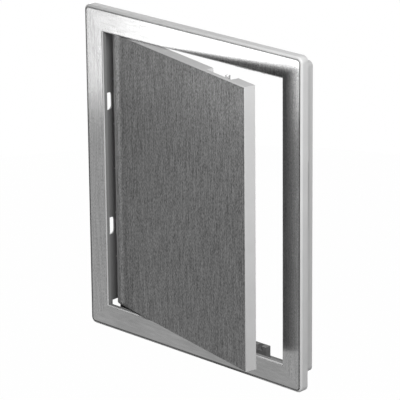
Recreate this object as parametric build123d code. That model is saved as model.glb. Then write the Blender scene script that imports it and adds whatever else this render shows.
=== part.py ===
from build123d import *
import os

# Plastic access door for a wall: a flanged frame with a collar that goes into
# the wall, and a leaf on two upright hinge pins at the left.
# X runs to the right, Y into the wall and Z up. The origin is the middle of
# the opening, in the plane of the wall's face. All sizes are in millimetres.

# Wall collar: the sleeve that goes into the cut-out in the wall
collar_width = 250.0
collar_height = 300.0
collar_wall = 2.0
collar_corner = 5.0
collar_reach = 19.0
window_height = 17.0
window_depth = 9.0
window_setback = 4.0
window_offset = 63.0
window_corner = 3.5
hinge_cut_depth = 10.5
hinge_cut_height = 8.0

# Flange: the visible border, with its rim and the lip around the opening
flange_overlap = 11.0
flange_wall = 2.2
flange_corner = 6.0
flange_edge = 2.0
rim_depth = 9.0
rim_wall = 2.0
border_width = 23.5
lip_depth = 5.0
lip_wall = 2.0
lip_edge = 1.0
seat_rib_wall = 1.6
seat_rib_height = 4.0
seat_clearance = 0.1
film_thickness = 0.3
film_inset = 0.2

# Leaf: a shallow tray, open and ribbed at the back
leaf_gap = 1.3
free_edge_gap = 3.3
leaf_recess = 6.7
leaf_thickness = 12.0
leaf_front_wall = 2.2
leaf_rim_wall = 2.0
leaf_edge = 0.6
leaf_open_angle = 12.5
rib_wall = 1.6
rib_setback = 3.0
upright_ribs = 4
level_ribs = 5

# Hinge: pins in the leaf that turn in bushes on the collar
hinge_edge_radius = 9.5
hinge_pin_radius = 2.0
hinge_pin_seat = 22.0
hinge_pin_end_gap = 1.5
pin_chamfer = 0.5
running_clearance = 0.05
press_clearance = 0.01
barrel_wall = 2.5
barrel_extra = 4.0
bush_half_width = 5.0
bush_half_depth = 5.0
bush_lift = 0.3
thrust_wall = 2.0
thrust_gap = 0.3

# Catch: clips on the collar that grip two pins standing in notches of the leaf
catch_from_free_edge = 45.2
catch_width = 36.5
catch_back_wall = 1.2
catch_reach = 4.5
catch_clearance = 0.5
catch_front_wall = 1.6
catch_side_wall = 2.0
catch_mouth = 8.0
catch_mouth_depth = 1.2
notch_side_clearance = 1.2
notch_floor_clearance = 1.2
notch_front = 4.4
notch_wall = 2.0
latch_from_free_edge = 35.5
latch_from_clip_front = 2.55
latch_pin_radius = 2.4
latch_pin_rise = 0.8
latch_pin_bore = 1.2
latch_bore_depth = 3.0
latch_stem_radius = 1.6
latch_stem_length = 8.0
latch_boss_wall = 2.0
slot_clearance = 0.3
slot_end_clearance = 0.5
grip_radius = 0.8
grip_clearance = 0.1
grip_setback = 1.5

# Places that follow from the sizes
flange_width = collar_width + 2 * flange_overlap
flange_height = collar_height + 2 * flange_overlap
opening_width = flange_width - 2 * border_width
opening_height = flange_height - 2 * border_width
collar_inside = collar_height / 2 - collar_wall
y_front = -rim_depth
y_plate = y_front + film_thickness
y_plate_back = y_plate + flange_wall
y_lip_back = y_front + lip_depth

leaf_left = -opening_width / 2 + leaf_gap
leaf_right = opening_width / 2 - free_edge_gap
leaf_top = opening_height / 2 - leaf_gap
leaf_front = y_front + leaf_recess
leaf_back = leaf_front + leaf_thickness
leaf_skin = leaf_front + film_thickness

hinge_x = leaf_left + hinge_edge_radius
hinge_y = leaf_front + hinge_edge_radius
barrel_radius = hinge_pin_radius + barrel_wall
barrel_low = leaf_top - hinge_pin_seat - barrel_extra
bush_low = opening_height / 2 + bush_lift

catch_x = leaf_right - catch_from_free_edge
catch_low = opening_height / 2 - catch_reach
catch_front = leaf_front + notch_front + catch_clearance
notch_half = catch_width / 2 + notch_side_clearance
notch_floor = catch_low - notch_floor_clearance
latch_x = leaf_right - latch_from_free_edge
latch_y = catch_front + latch_from_clip_front
latch_top = leaf_top + latch_pin_rise
slot_half = latch_pin_radius + slot_clearance
slot_top = latch_top + slot_end_clearance
slot_end = latch_y + slot_half
catch_back = slot_end + catch_back_wall


def block(x, y, z):
    """A box between its low and high values along each axis."""
    middle = [(low + high) / 2 for low, high in (x, y, z)]
    return Pos(*middle) * Box(x[1] - x[0], y[1] - y[0], z[1] - z[0])


def slab(width, height, y_low, y_high, corner=0.0):
    """An upright plate centred on the opening, between two depths."""
    outline = RectangleRounded(width, height, corner) if corner else Rectangle(width, height)
    base = Plane(origin=(0, y_low, 0), x_dir=(1, 0, 0), z_dir=(0, 1, 0))
    return extrude(base * outline, amount=y_high - y_low)


def post(radius, x, y, z_low, z_high):
    """An upright round bar."""
    return Pos(x, y, (z_low + z_high) / 2) * Cylinder(radius, z_high - z_low)


def opened(piece):
    """A piece of the leaf, turned from its closed place to its place at rest."""
    hinge = Pos(hinge_x, hinge_y, 0)
    return hinge * Rot(0, 0, -leaf_open_angle) * hinge.inverse() * piece


def bottom_twin(piece):
    """The same piece at the other end, upside down."""
    return mirror(piece, about=Plane.XY)


def flange_frame():
    """The moulded border: face, outer rim, lip and the rib that seats the collar."""
    plate = slab(flange_width, flange_height, y_plate, 0, flange_corner)
    front_edges = plate.faces().sort_by(Axis.Y)[0].edges()
    plate = fillet(front_edges, flange_edge)
    hollow = slab(flange_width - 2 * rim_wall, flange_height - 2 * rim_wall,
                  y_plate_back, 1, flange_corner - rim_wall)
    lip = slab(opening_width + 2 * lip_wall, opening_height + 2 * lip_wall, y_plate, y_lip_back)
    rib_inside = collar_width + 2 * seat_clearance
    rib_inside_high = collar_height + 2 * seat_clearance
    rib = slab(rib_inside + 2 * seat_rib_wall, rib_inside_high + 2 * seat_rib_wall,
               y_plate_back, y_plate_back + seat_rib_height,
               collar_corner + seat_clearance + seat_rib_wall)
    rib -= slab(rib_inside, rib_inside_high, y_plate_back, y_plate_back + seat_rib_height,
                collar_corner + seat_clearance)
    opening = slab(opening_width, opening_height, y_front - 1, 1)
    border = plate - hollow + rib + lip - opening
    lip_edges = border.faces().sort_by(Axis.Y)[0].inner_wires()[0].edges()
    return fillet(lip_edges, lip_edge)


def flange_film():
    """The brushed film on the flat of the border."""
    film = slab(flange_width - 2 * flange_edge, flange_height - 2 * flange_edge,
                y_front, y_plate, flange_corner - flange_edge)
    margin = lip_edge + film_inset
    return film - slab(opening_width + 2 * margin, opening_height + 2 * margin, y_front - 1, 1)


def wall_collar():
    """The sleeve behind the border, with windows in its sides and its hinge corners cut away."""
    collar = slab(collar_width, collar_height, y_plate_back, collar_reach, collar_corner)
    collar -= slab(collar_width - 2 * collar_wall, 2 * collar_inside,
                   y_plate_back - 1, collar_reach + 1, collar_corner - collar_wall)
    for z in (-window_offset, window_offset):
        window = block((-collar_width, collar_width),
                       (window_setback, window_setback + window_depth),
                       (z - window_height / 2, z + window_height / 2))
        back_edges = window.edges().filter_by(Axis.X).group_by(Axis.Y)[-1]
        collar -= fillet(back_edges, window_corner)
    hinge_cut = block((-collar_width, collar_corner - collar_width / 2),
                      (collar_reach - hinge_cut_depth, collar_reach + 1),
                      (collar_inside - hinge_cut_height, collar_height))
    return collar - hinge_cut - bottom_twin(hinge_cut)


def hinge_bush():
    """The upper hinge block under the collar's top wall."""
    body = block((hinge_x - bush_half_width, hinge_x + bush_half_width),
                 (hinge_y - bush_half_depth, hinge_y + bush_half_depth),
                 (bush_low, collar_inside))
    thrust_radius = hinge_pin_radius + thrust_wall
    body += post(thrust_radius, hinge_x, hinge_y, leaf_top + thrust_gap, bush_low)
    bore_radius = hinge_pin_radius + running_clearance
    return body - post(bore_radius, hinge_x, hinge_y, leaf_top, collar_inside + 1)


def hinge_pin():
    """The upper hinge pin, pressed into the leaf's barrel."""
    pin = post(hinge_pin_radius, hinge_x, hinge_y,
               leaf_top - hinge_pin_seat, collar_inside - hinge_pin_end_gap)
    return chamfer(pin.edges().filter_by(GeomType.CIRCLE), pin_chamfer)


def catch_clip():
    """The upper catch: a block with a flared slot that grips the latch pin."""
    left, right = catch_x - catch_width / 2, catch_x + catch_width / 2
    clip = block((left, right), (catch_front, catch_back), (catch_low, collar_inside))
    y_neck = catch_front + catch_mouth_depth
    slot = Polyline((latch_x - catch_mouth / 2, catch_front),
                    (latch_x + catch_mouth / 2, catch_front),
                    (latch_x + slot_half, y_neck),
                    (latch_x + slot_half, slot_end),
                    (latch_x - slot_half, slot_end),
                    (latch_x - slot_half, y_neck), close=True)
    slot_height = slot_top - catch_low + 1
    clip -= Pos(0, 0, catch_low - 1) * extrude(make_face(slot), amount=slot_height)
    grip_x = latch_pin_radius + grip_clearance + grip_radius
    for side in (-1, 1):
        clip += post(grip_radius, latch_x + side * grip_x, catch_front + grip_setback,
                     catch_low, slot_top)
    hollow_right = latch_x - slot_half - 2 * catch_side_wall
    return clip - block((left + catch_side_wall, hollow_right),
                        (catch_front + catch_front_wall, catch_back + 1),
                        (catch_low + catch_side_wall, collar_inside - catch_side_wall))


def latch_pin():
    """The upper latch pin: a hollow head on a stem that is pressed into the leaf."""
    pin = post(latch_pin_radius, latch_x, latch_y, notch_floor, latch_top)
    pin += post(latch_stem_radius, latch_x, latch_y, notch_floor - latch_stem_length, notch_floor)
    return pin - post(latch_pin_bore, latch_x, latch_y, latch_top - latch_bore_depth, latch_top + 1)


def leaf_shell():
    """The leaf: front, rim with a round hinge edge, ribs, barrels and catch notches."""
    body = block((leaf_left, leaf_right), (leaf_skin, leaf_back), (-leaf_top, leaf_top))
    hinge_edge = body.edges().filter_by(Axis.Z).group_by(Axis.X)[0].sort_by(Axis.Y)[0]
    body = fillet(hinge_edge, hinge_edge_radius - film_thickness)
    front = body.faces().sort_by(Axis.Y)[0]
    body = fillet(front.edges().sort_by(Axis.X)[1:], leaf_edge)

    inside_left = leaf_left + leaf_rim_wall
    inside_right = leaf_right - leaf_rim_wall
    inside_top = leaf_top - leaf_rim_wall
    inside_front = leaf_skin + leaf_front_wall
    hollow = block((inside_left, inside_right), (inside_front, leaf_back + 1),
                   (-inside_top, inside_top))
    hollow_edge = hollow.edges().filter_by(Axis.Z).group_by(Axis.X)[0].sort_by(Axis.Y)[0]
    body -= fillet(hollow_edge, hinge_edge_radius - leaf_rim_wall)

    rib_y = (inside_front, leaf_back - rib_setback)
    for n in range(1, upright_ribs + 1):
        x = inside_left + n * (inside_right - inside_left) / (upright_ribs + 1)
        body += block((x - rib_wall / 2, x + rib_wall / 2), rib_y, (-inside_top, inside_top))
    for n in range(1, level_ribs + 1):
        z = -inside_top + n * 2 * inside_top / (level_ribs + 1)
        body += block((inside_left, inside_right), rib_y, (z - rib_wall / 2, z + rib_wall / 2))

    x_pocket = (catch_x - notch_half - notch_wall, catch_x + notch_half + notch_wall)
    x_notch = (catch_x - notch_half, catch_x + notch_half)
    stem_end = notch_floor - latch_stem_length
    pocket = block(x_pocket, (inside_front, leaf_back), (notch_floor - notch_wall, inside_top))
    boss = post(latch_stem_radius + latch_boss_wall, latch_x, latch_y,
                stem_end - latch_boss_wall, notch_floor)
    boss &= block(x_pocket, (inside_front, leaf_back), (0, leaf_top))
    barrel = post(barrel_radius, hinge_x, hinge_y, barrel_low, leaf_top)
    web = block((inside_left, hinge_x), (inside_front, hinge_y), (barrel_low, leaf_top))
    web &= post(hinge_edge_radius - leaf_edge, hinge_x, hinge_y, barrel_low, leaf_top)
    added = pocket + boss + barrel + web

    notch = block(x_notch, (leaf_front + notch_front, leaf_back + 1), (notch_floor, leaf_top + 1))
    stem_hole = post(latch_stem_radius + press_clearance, latch_x, latch_y, stem_end, notch_floor)
    pin_hole = post(hinge_pin_radius + press_clearance, hinge_x, hinge_y,
                    leaf_top - hinge_pin_seat, leaf_top + 1)
    removed = notch + stem_hole + pin_hole

    body = body + added + bottom_twin(added)
    return body - removed - bottom_twin(removed)


def leaf_film():
    """The brushed film on the flat front of the leaf."""
    return block((hinge_x, leaf_right - leaf_edge), (leaf_front, leaf_skin),
                 (-leaf_top + leaf_edge, leaf_top - leaf_edge))


def build():
    """Every piece of the door under its own name, with the leaf a little open."""
    frame_pieces = {
        "flange_frame": flange_frame(),
        "flange_brushed_film": flange_film(),
        "wall_collar": wall_collar(),
        "top_hinge_bush": hinge_bush(),
        "bottom_hinge_bush": bottom_twin(hinge_bush()),
        "top_catch_clip": catch_clip(),
        "bottom_catch_clip": bottom_twin(catch_clip()),
    }
    leaf_pieces = {
        "leaf_shell": leaf_shell(),
        "leaf_brushed_film": leaf_film(),
        "top_hinge_pin": hinge_pin(),
        "bottom_hinge_pin": bottom_twin(hinge_pin()),
        "top_latch_pin": latch_pin(),
        "bottom_latch_pin": bottom_twin(latch_pin()),
    }
    opened_pieces = {name: opened(piece) for name, piece in leaf_pieces.items()}
    return {**frame_pieces, **opened_pieces}


os.makedirs("parts", exist_ok=True)
for name, piece in build().items():
    export_step(piece, f"parts/{name}.step")
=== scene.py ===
from math import cos, pi, radians, sin

import bpy
from mathutils import Matrix, Vector


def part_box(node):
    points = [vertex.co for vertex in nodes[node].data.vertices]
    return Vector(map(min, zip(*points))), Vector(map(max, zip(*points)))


# Looks of the plastic access door. Everything is in metres, in the part's frame:
# X to the right, Y into the wall, Z up, origin in the middle of the opening.

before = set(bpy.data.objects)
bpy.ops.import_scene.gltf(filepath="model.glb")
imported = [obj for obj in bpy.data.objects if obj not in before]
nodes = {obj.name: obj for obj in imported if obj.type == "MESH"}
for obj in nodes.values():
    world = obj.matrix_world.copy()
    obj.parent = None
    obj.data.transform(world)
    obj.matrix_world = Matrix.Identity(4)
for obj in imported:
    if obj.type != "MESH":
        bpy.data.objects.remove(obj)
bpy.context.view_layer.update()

# Camera: the photographed view
VIEW_AZIMUTH = radians(43.129)
VIEW_ELEVATION = radians(19.445)
VIEW_ROLL = radians(-0.576)
VIEW_DISTANCE = 2.8324
VIEW_ASIDE = 0.00798
VIEW_RAISED = -0.00335
VIEW_LENS = 274.22
SENSOR_WIDTH = 36.0

# Places read from the solids
FLANGE_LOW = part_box("flange_frame")[0]
FILM_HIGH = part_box("flange_brushed_film")[1]
LEAF_FILM_LOW, LEAF_FILM_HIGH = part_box("leaf_brushed_film")
COLLAR_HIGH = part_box("wall_collar")[1]
FRONT_Y = FLANGE_LOW.y
FLOOR_Z = FLANGE_LOW.z

# How far the leaf stands open in the solids, as a turn about Z
LEAF_ANGLE = radians(-12.5)

# The space inside the opening and the collar, where shade is painted into the plastic's colour. It starts
# this far behind the flange's front and reaches into the collar's wall by the margin.
COLLAR_WALL = 0.002
WALL_MARGIN = 0.0003
INSIDE_START = 0.0008

# Softened edges
USUAL_EDGE = 0.00035
FILM_EDGE = 0.0001
LATCH_PIN_EDGE = 0.0002
EDGE_ANGLE = radians(35)
EDGE_SEGMENTS = 2
WELD_DISTANCE = 1e-6

# The span that a noise texture's values mostly lie in, and tighter ones that sharpen brushed lines
NOISE_SPAN = (0.3, 0.7)
UPRIGHT_SPAN = (0.4, 0.6)
LEVEL_SPAN = (0.35, 0.65)

# Brushed films: features per metre along X, Y and Z. Shares are of a tone or a roughness, the first
# where a noise is low and the second where it is high.
UPRIGHT_GRAIN = (2000, 2000, 420)
UPRIGHT_STREAKS = (1300, 1300, 45)
LEVEL_GRAIN = (90, 600, 600)
LEVEL_STREAKS = (20, 300, 300)
STREAK_SHARE = 0.35
FILM_CLOUDS = (14, 14, 9)
FILM_CLOUD_SHARES = (0.94, 1.06)
FILM_ROUGHNESS_SHARES = (1.15, 0.85)
FILM_ANISOTROPY = 0.8
SCRATCH_DEPTH = 0.00002

# Film of the flange: its tone, its grain, and the top and bottom borders that meet the sides at mitres
FLANGE_FILM_TONE = 0.29
FLANGE_FILM_ROUGHNESS = 0.23
FLANGE_FILM_SHARES = (0.75, 1.25)
LEVEL_SHARES = (0.9, 1.1)
LEVEL_ROUGHER = 1.15
MITRE_HALF_BLEND = 0.0015

# Film of the flange: the dark outer edge, which is painted shade
FILM_CORNER = 0.004
SHADED_EDGE_WIDTH = 0.0012
EDGE_SHADE_SHARE = 0.25
EDGE_SHADE_HALF_BLEND = 0.0002

# Film of the leaf: its tone, its grain and a painted highlight in the strip beside the hinge edge
# The leaf's film is the same brushed film as the flange's; its darker tone is painted shade.
LEAF_FILM_SHADED_TONE = 0.12
LEAF_FILM_ROUGHNESS = 0.3
LEAF_FILM_SHARES = (0.38, 1.62)
HINGE_HIGHLIGHT = 0.011
HINGE_HIGHLIGHT_FULL = 0.5 * HINGE_HIGHLIGHT
HINGE_HIGHLIGHT_TIMES = 2.1

# Moulded plastics: features per metre and shares, the texture's depth and strength, and the gloss
PLASTIC_TEXTURE = (2600, 2600, 2600)
PLASTIC_TEXTURE_SHARES = (0.98, 1.02)
PLASTIC_CLOUDS = (24, 24, 24)
PLASTIC_CLOUD_SHARES = (0.96, 1.04)
PLASTIC_ROUGHNESS_SHARES = (0.9, 1.12)
PLASTIC_DEPTH = 0.00002
PLASTIC_BUMP = 0.6
PLASTIC_GLOSS = 0.12

# Turned metal: features per metre, shares and the depth of the rings
TURNED_RINGS = (40, 40, 5200)
TURNED_RING_SHARES = (0.93, 1.05)
TURNED_SMEARS = (260, 260, 260)
TURNED_SMEAR_SHARES = (0.95, 1.03)
TURNED_ROUGHNESS_SHARES = (1.25, 0.8)
TURNED_DEPTH = 0.00002

# Lamps: watts of each, and the strength of the room around them
LAMP_ABOVE = 1.2
LAMP_RIGHT = 9.8
LAMP_LOW = 1.1
LAMP_BEHIND = 3.6
ROOM_LIGHT = 0.06
BACKDROP_MIRRORED = 0.82

# Floor
FLOOR_RADIUS = 0.63
FLOOR_SIDES = 96
FLOOR_COLOUR = (0.3, 0.3, 0.3, 1)
FLOOR_ROUGHNESS = 0.9
FLOOR_WHITE_SHARE = 0.99

WHITE = (1, 1, 1, 1)


class Shader:
    """A material's node tree, with short calls for the nodes that are used often."""

    def __init__(self, name):
        self.material = bpy.data.materials.new(name)
        self.material.use_nodes = True
        self.tree = self.material.node_tree
        self.surface = self.tree.nodes["Principled BSDF"]

    def node(self, kind, **values):
        made = self.tree.nodes.new(kind)
        for name, value in values.items():
            setattr(made, name, value)
        return made

    def link(self, source, target):
        self.tree.links.new(source, target)

    def set(self, **values):
        """Numbers and colours that are the same all over the surface."""
        for name, value in values.items():
            self.surface.inputs[name.replace("_", " ")].default_value = value

    def fill(self, made, values):
        """Links the sockets of a node to other sockets, or sets them to plain values."""
        for socket, value in zip(made.inputs, values):
            if isinstance(value, (int, float, tuple)):
                socket.default_value = value
            else:
                self.link(value, socket)

    def math(self, operation, first, second):
        made = self.node("ShaderNodeMath", operation=operation)
        self.fill(made, (first, second))
        return made.outputs["Value"]

    def vector_math(self, operation, *values):
        made = self.node("ShaderNodeVectorMath", operation=operation)
        self.fill(made, values)
        return made.outputs["Value" if operation == "LENGTH" else "Vector"]

    def place(self):
        """The piece's own coordinates."""
        return self.node("ShaderNodeTexCoord").outputs["Object"]

    def from_middle(self):
        """How far a point is from the middle of the opening, along X, Y and Z, never negative."""
        return self.vector_math("ABSOLUTE", self.place())

    def part_of(self, vector, axis):
        made = self.node("ShaderNodeSeparateXYZ")
        self.link(vector, made.inputs["Vector"])
        return made.outputs[axis]

    def noise(self, scale, detail, roughness):
        """Noise from 0 to 1, with so many features per metre along X, Y and Z."""
        made = self.node("ShaderNodeTexNoise")
        made.inputs["Scale"].default_value = 1.0
        made.inputs["Detail"].default_value = detail
        made.inputs["Roughness"].default_value = roughness
        self.link(self.vector_math("MULTIPLY", self.place(), scale), made.inputs["Vector"])
        return made.outputs["Fac"]

    def spread(self, value, low, high, start=0.0, end=1.0):
        """A value between start and end, taken to low and high."""
        made = self.node("ShaderNodeMapRange")
        self.link(value, made.inputs["Value"])
        for name, number in (("From Min", start), ("From Max", end), ("To Min", low), ("To Max", high)):
            made.inputs[name].default_value = number
        return made.outputs["Result"]

    def vary(self, noise, middle, shares, span=NOISE_SPAN):
        """A noise, taken to the first share of a middle value where it is low, the second where high."""
        return self.spread(noise, middle * shares[0], middle * shares[1], *span)

    def blend(self, share, first, second):
        """The first value where share is 0, the second where it is 1."""
        made = self.node("ShaderNodeMix", data_type="FLOAT")
        sockets = [socket for socket in made.inputs if socket.enabled]
        for socket, value in zip(sockets, (share, first, second)):
            self.link(value, socket)
        return next(socket for socket in made.outputs if socket.enabled)

    def paint(self, tone, roughness):
        """Gives the surface an even grey of this tone, and this roughness."""
        colour = self.node("ShaderNodeCombineColor")
        for name in ("Red", "Green", "Blue"):
            self.link(tone, colour.inputs[name])
        self.link(colour.outputs["Color"], self.surface.inputs["Base Color"])
        self.link(roughness, self.surface.inputs["Roughness"])

    def bump(self, height, depth, strength=1.0):
        made = self.node("ShaderNodeBump")
        made.inputs["Strength"].default_value = strength
        made.inputs["Distance"].default_value = depth
        self.link(height, made.inputs["Height"])
        self.link(made.outputs["Normal"], self.surface.inputs["Normal"])


def grain(shader, fine_scale, streak_scale):
    """Brushed lines: fine short ones and long thin streaks."""
    fine = shader.noise(fine_scale, detail=2.0, roughness=0.6)
    streaks = shader.noise(streak_scale, detail=2.0, roughness=0.55)
    return shader.math("ADD", shader.math("MULTIPLY", streaks, STREAK_SHARE),
                       shader.math("MULTIPLY", fine, 1 - STREAK_SHARE))


def cloudy(shader, contrast, tone):
    """A film's tone with the contrast of its lines, and faint clouds over them."""
    clouds = shader.noise(FILM_CLOUDS, detail=3.0, roughness=0.55)
    return shader.math("MULTIPLY", contrast, shader.vary(clouds, tone, FILM_CLOUD_SHARES))


def finish_film(shader, tone, roughness, lines, turn):
    """Metal brushed upright on a sheet that is turned about Z: its highlights run wide across the lines."""
    shader.paint(tone, roughness)
    shader.set(Metallic=1.0, Anisotropic=FILM_ANISOTROPY)
    across = shader.node("ShaderNodeVectorTransform", vector_type="VECTOR",
                         convert_from="OBJECT", convert_to="WORLD")
    across.inputs["Vector"].default_value = (cos(turn), sin(turn), 0)
    shader.link(across.outputs["Vector"], shader.surface.inputs["Tangent"])
    shader.bump(lines, SCRATCH_DEPTH)
    return shader.material


def border_share(shader):
    """1 on the top and bottom borders and 0 on the side borders, changing at the mitres."""
    place = shader.from_middle()
    beyond = shader.math("SUBTRACT", shader.part_of(place, "Z"), shader.part_of(place, "X"))
    mitre = FILM_HIGH.z - FILM_HIGH.x
    return shader.spread(beyond, 0.0, 1.0, mitre - MITRE_HALF_BLEND, mitre + MITRE_HALF_BLEND)


def painted_edge_shade(shader, tone):
    """The tone of the flange's film, darker along its outer edge as painted shade, round corners included.
    """
    straight = (FILM_HIGH.x - FILM_CORNER, 0.0, FILM_HIGH.z - FILM_CORNER)
    beyond = shader.vector_math("SUBTRACT", shader.from_middle(), straight)
    beyond = shader.vector_math("MAXIMUM", beyond, (0.0, 0.0, 0.0))
    beyond = shader.vector_math("MULTIPLY", beyond, (1.0, 0.0, 1.0))
    # Painted shade: a dark line along the film's outer edge.
    start = FILM_CORNER - SHADED_EDGE_WIDTH
    share = shader.spread(shader.vector_math("LENGTH", beyond), 1.0, EDGE_SHADE_SHARE,
                          start - EDGE_SHADE_HALF_BLEND, start + EDGE_SHADE_HALF_BLEND)
    return shader.math("MULTIPLY", tone, share)


def flange_film():
    """The border's film: upright grain at the sides, level and a little rougher at top and bottom."""
    shader = Shader("brushed_film")
    upright_lines = grain(shader, UPRIGHT_GRAIN, UPRIGHT_STREAKS)
    level_lines = grain(shader, LEVEL_GRAIN, LEVEL_STREAKS)
    level_share = border_share(shader)
    contrast = shader.blend(level_share,
                            shader.vary(upright_lines, 1.0, FLANGE_FILM_SHARES, UPRIGHT_SPAN),
                            shader.vary(level_lines, 1.0, LEVEL_SHARES, LEVEL_SPAN))
    tone = painted_edge_shade(shader, cloudy(shader, contrast, FLANGE_FILM_TONE))
    roughness = shader.math("MULTIPLY",
                            shader.vary(upright_lines, FLANGE_FILM_ROUGHNESS, FILM_ROUGHNESS_SHARES),
                            shader.spread(level_share, 1.0, LEVEL_ROUGHER))
    return finish_film(shader, tone, roughness, upright_lines, turn=0.0)


def painted_hinge_highlight(shader, tone):
    """The tone of the leaf's film, paler beside the hinge edge as a painted highlight."""
    across = (cos(LEAF_ANGLE), sin(LEAF_ANGLE), 0.0)
    along = shader.vector_math("MULTIPLY", shader.place(), across)
    distance = shader.math("ADD", shader.part_of(along, "X"), shader.part_of(along, "Y"))
    start = LEAF_FILM_LOW.x * cos(LEAF_ANGLE) + LEAF_FILM_HIGH.y * sin(LEAF_ANGLE)
    # Painted highlight: the film is paler beside the hinge edge.
    share = shader.spread(distance, HINGE_HIGHLIGHT_TIMES, 1.0, start + HINGE_HIGHLIGHT_FULL, start + HINGE_HIGHLIGHT)
    return shader.math("MULTIPLY", tone, share)


def leaf_film():
    """The leaf's film: upright grain, with a painted highlight in a strip beside the hinge edge."""
    shader = Shader("leaf_film")
    lines = grain(shader, UPRIGHT_GRAIN, UPRIGHT_STREAKS)
    contrast = shader.vary(lines, 1.0, LEAF_FILM_SHARES, UPRIGHT_SPAN)
    tone = painted_hinge_highlight(shader, cloudy(shader, contrast, LEAF_FILM_SHADED_TONE))
    roughness = shader.vary(lines, LEAF_FILM_ROUGHNESS, FILM_ROUGHNESS_SHARES)
    return finish_film(shader, tone, roughness, lines, turn=LEAF_ANGLE)


def painted_shade_share(shader):
    """1 on the faces inside the opening and the collar, where shade is painted, 0 on the outside."""
    place = shader.from_middle()
    margin = WALL_MARGIN - COLLAR_WALL
    within_x = shader.math("LESS_THAN", shader.part_of(place, "X"), COLLAR_HIGH.x + margin)
    within_z = shader.math("LESS_THAN", shader.part_of(place, "Z"), COLLAR_HIGH.z + margin)
    behind = shader.math("GREATER_THAN", shader.part_of(shader.place(), "Y"), FRONT_Y + INSIDE_START)
    return shader.math("MULTIPLY", shader.math("MULTIPLY", within_x, within_z), behind)


def moulded_plastic(name, tone, roughness, shaded_inside_tone=None):
    """Moulded plastic with a fine even texture, faint changes of tone and a weak gloss."""
    shader = Shader(name)
    texture = shader.noise(PLASTIC_TEXTURE, detail=2.0, roughness=0.6)
    clouds = shader.noise(PLASTIC_CLOUDS, detail=4.0, roughness=0.55)
    mottled = shader.math("MULTIPLY", shader.vary(clouds, tone, PLASTIC_CLOUD_SHARES),
                          shader.vary(texture, 1.0, PLASTIC_TEXTURE_SHARES))
    # Painted shade: faces inside the opening and the collar get a darker tone.
    if shaded_inside_tone:
        painted_shade = shader.spread(painted_shade_share(shader), 1.0, shaded_inside_tone / tone)
        mottled = shader.math("MULTIPLY", mottled, painted_shade)
    shader.paint(mottled, shader.vary(clouds, roughness, PLASTIC_ROUGHNESS_SHARES))
    shader.set(Specular_IOR_Level=PLASTIC_GLOSS)
    shader.bump(texture, PLASTIC_DEPTH, PLASTIC_BUMP)
    return shader.material


def turned_metal(name, tone, roughness):
    """Metal turned on a lathe: rings along its length, bright and a little uneven."""
    shader = Shader(name)
    rings = shader.noise(TURNED_RINGS, detail=2.0, roughness=0.5)
    smears = shader.noise(TURNED_SMEARS, detail=3.0, roughness=0.6)
    ringed = shader.math("MULTIPLY", shader.vary(rings, tone, TURNED_RING_SHARES),
                         shader.vary(smears, 1.0, TURNED_SMEAR_SHARES))
    shader.paint(ringed, shader.vary(rings, roughness, TURNED_ROUGHNESS_SHARES))
    shader.set(Metallic=1.0)
    shader.bump(rings, TURNED_DEPTH)
    return shader.material


def soften(piece, width):
    """Rounds a piece's sharp edges a little."""
    weld = piece.modifiers.new("weld", "WELD")
    weld.merge_threshold = WELD_DISTANCE
    bevel = piece.modifiers.new("edges", "BEVEL")
    bevel.width = width
    bevel.segments = EDGE_SEGMENTS
    bevel.limit_method = "ANGLE"
    bevel.angle_limit = EDGE_ANGLE
    bevel.harden_normals = True


def dress(names, material, edge_width=USUAL_EDGE):
    """Gives CAD nodes their material and softened edges."""
    for name in names:
        piece = nodes[name]
        piece.data.materials.clear()
        piece.data.materials.append(material)
        soften(piece, edge_width)


def dress_door():
    """Every piece of the door in its own finish."""
    # The inside tones of the flange and the collar are painted shade in the opening and the collar.
    dress(["flange_frame"],
          moulded_plastic("silver_plastic", tone=0.55, roughness=0.36, shaded_inside_tone=0.2))
    # The collar's tone, a little darker than the flange's, is painted shade from the flange's rim.
    dress(["wall_collar"],
          moulded_plastic("collar_plastic", tone=0.5, roughness=0.36, shaded_inside_tone=0.15))
    # The leaf shell's tone, a little darker than the flange's, is painted shade that offsets the lamp at the
    # right.
    dress(["leaf_shell"], moulded_plastic("leaf_plastic", tone=0.5, roughness=0.34))
    dress(["flange_brushed_film"], flange_film(), FILM_EDGE)
    dress(["leaf_brushed_film"], leaf_film(), FILM_EDGE)
    # The bushes and catch clips sit inside the frame; their dark tones are painted shade.
    dress(["top_hinge_bush", "bottom_hinge_bush"],
          moulded_plastic("bush_plastic", tone=0.22, roughness=0.45))
    dress(["top_catch_clip", "bottom_catch_clip"],
          moulded_plastic("catch_plastic", tone=0.13, roughness=0.4))
    dress(["top_hinge_pin", "bottom_hinge_pin"], turned_metal("pin_steel", tone=0.7, roughness=0.3))
    dress(["top_latch_pin", "bottom_latch_pin"],
          turned_metal("latch_metal", tone=0.8, roughness=0.22), LATCH_PIN_EDGE)


def softbox(name, power, place, aim, width, height, lights_plastic=True):
    """A rectangular studio lamp at a place, turned towards a point and hidden from the camera."""
    lamp = bpy.data.lights.new(name, "AREA")
    lamp.shape = "RECTANGLE"
    lamp.size = width
    lamp.size_y = height
    lamp.energy = power
    holder = bpy.data.objects.new(name, lamp)
    bpy.context.scene.collection.objects.link(holder)
    holder.location = place
    holder.rotation_euler = (Vector(aim) - Vector(place)).to_track_quat("-Z", "Y").to_euler()
    holder.visible_camera = False
    holder.visible_diffuse = lights_plastic


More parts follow.
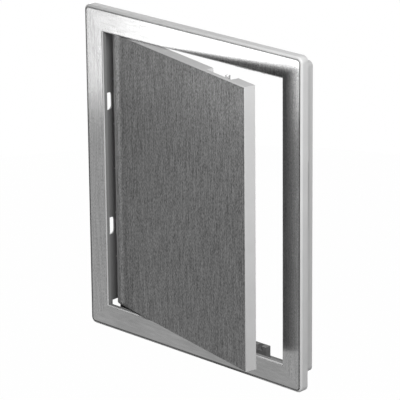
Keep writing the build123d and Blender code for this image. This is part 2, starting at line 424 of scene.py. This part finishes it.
def place_lamps():
    """Soft lamps above, at the right, low at the left and behind."""
    softbox("lamp above", LAMP_ABOVE, place=(0.1, 0.12, 0.8), aim=(0, 0, 0.1), width=0.7, height=0.4)
    softbox("lamp at the right", LAMP_RIGHT, place=(0.6, -0.48, 0.52), aim=(0.1, 0, 0.05),
            width=0.25, height=0.5)
    softbox("lamp low at the left", LAMP_LOW, place=(-0.33, -0.58, -0.05), aim=(0, 0, 0),
            width=0.42, height=0.14, lights_plastic=False)
    softbox("lamp behind", LAMP_BEHIND, place=(-0.8, 0.5, 0.1), aim=(0, 0, 0), width=0.4, height=0.4)


def seen_directly(tree, mirrored=1.0):
    """1 for camera rays, mirrored for glossy and transmission rays, 0 for rays that light the object."""
    path = tree.nodes.new("ShaderNodeLightPath")
    value = path.outputs["Is Camera Ray"]
    for name in ("Is Glossy Ray", "Is Transmission Ray"):
        share = tree.nodes.new("ShaderNodeMath")
        share.operation = "MULTIPLY"
        share.inputs[1].default_value = mirrored
        tree.links.new(path.outputs[name], share.inputs[0])
        larger = tree.nodes.new("ShaderNodeMath")
        larger.operation = "MAXIMUM"
        tree.links.new(value, larger.inputs[0])
        tree.links.new(share.outputs["Value"], larger.inputs[1])
        value = larger.outputs["Value"]
    return value


def studio_room():
    """A dim room that is seen as a white backdrop and mirrored a little darker."""
    world = bpy.data.worlds.new("studio")
    bpy.context.scene.world = world
    world.use_nodes = True
    tree = world.node_tree
    room = tree.nodes["Background"]
    room.inputs["Color"].default_value = WHITE
    room.inputs["Strength"].default_value = ROOM_LIGHT
    backdrop = tree.nodes.new("ShaderNodeBackground")
    backdrop.inputs["Color"].default_value = WHITE
    backdrop.inputs["Strength"].default_value = 1.0
    choice = tree.nodes.new("ShaderNodeMixShader")
    tree.links.new(seen_directly(tree, BACKDROP_MIRRORED), choice.inputs["Fac"])
    tree.links.new(room.outputs["Background"], choice.inputs[1])
    tree.links.new(backdrop.outputs["Background"], choice.inputs[2])
    tree.links.new(choice.outputs["Shader"], tree.nodes["World Output"].inputs["Surface"])


def floor_material():
    """Grey and matt where it lights the object, and almost white where it is seen or mirrored."""
    shader = Shader("floor")
    shader.set(Base_Color=FLOOR_COLOUR, Roughness=FLOOR_ROUGHNESS)
    glow = shader.node("ShaderNodeEmission")
    glow.inputs["Strength"].default_value = 1.0
    choice = shader.node("ShaderNodeMixShader")
    white_share = shader.math("MULTIPLY", seen_directly(shader.tree), FLOOR_WHITE_SHARE)
    shader.link(white_share, choice.inputs["Fac"])
    shader.link(shader.surface.outputs["BSDF"], choice.inputs[1])
    shader.link(glow.outputs["Emission"], choice.inputs[2])
    shader.link(choice.outputs["Shader"], shader.tree.nodes["Material Output"].inputs["Surface"])
    return shader.material


def studio_floor():
    """A round floor under the door. It is seen as nearly white, so the door's shadow is very faint on it."""
    angles = [2 * pi * n / FLOOR_SIDES for n in range(FLOOR_SIDES)]
    rim = [(FLOOR_RADIUS * cos(angle), FLOOR_RADIUS * sin(angle), FLOOR_Z) for angle in angles]
    mesh = bpy.data.meshes.new("floor")
    mesh.from_pydata(rim, [], [range(FLOOR_SIDES)])
    mesh.materials.append(floor_material())
    floor = bpy.data.objects.new("floor", mesh)
    bpy.context.scene.collection.objects.link(floor)


def set_camera():
    """The camera at the photograph's angle, distance and framing."""
    forward = Vector((-sin(VIEW_AZIMUTH) * cos(VIEW_ELEVATION),
                      cos(VIEW_AZIMUTH) * cos(VIEW_ELEVATION), -sin(VIEW_ELEVATION)))
    level = Vector((cos(VIEW_AZIMUTH), sin(VIEW_AZIMUTH), 0))
    above = level.cross(forward)
    right = level * cos(VIEW_ROLL) + above * sin(VIEW_ROLL)
    up = above * cos(VIEW_ROLL) - level * sin(VIEW_ROLL)
    place = Vector((0, FRONT_Y, 0)) + VIEW_ASIDE * right + VIEW_RAISED * up - VIEW_DISTANCE * forward
    lens = bpy.data.cameras.new("camera")
    lens.lens = VIEW_LENS
    lens.sensor_width = SENSOR_WIDTH
    camera = bpy.data.objects.new("camera", lens)
    bpy.context.scene.collection.objects.link(camera)
    camera.matrix_world = Matrix.Translation(place) @ Matrix((right, up, -forward)).transposed().to_4x4()
    bpy.context.scene.camera = camera


bpy.context.scene.view_settings.view_transform = "Standard"
set_camera()
studio_floor()
place_lamps()
studio_room()
dress_door()
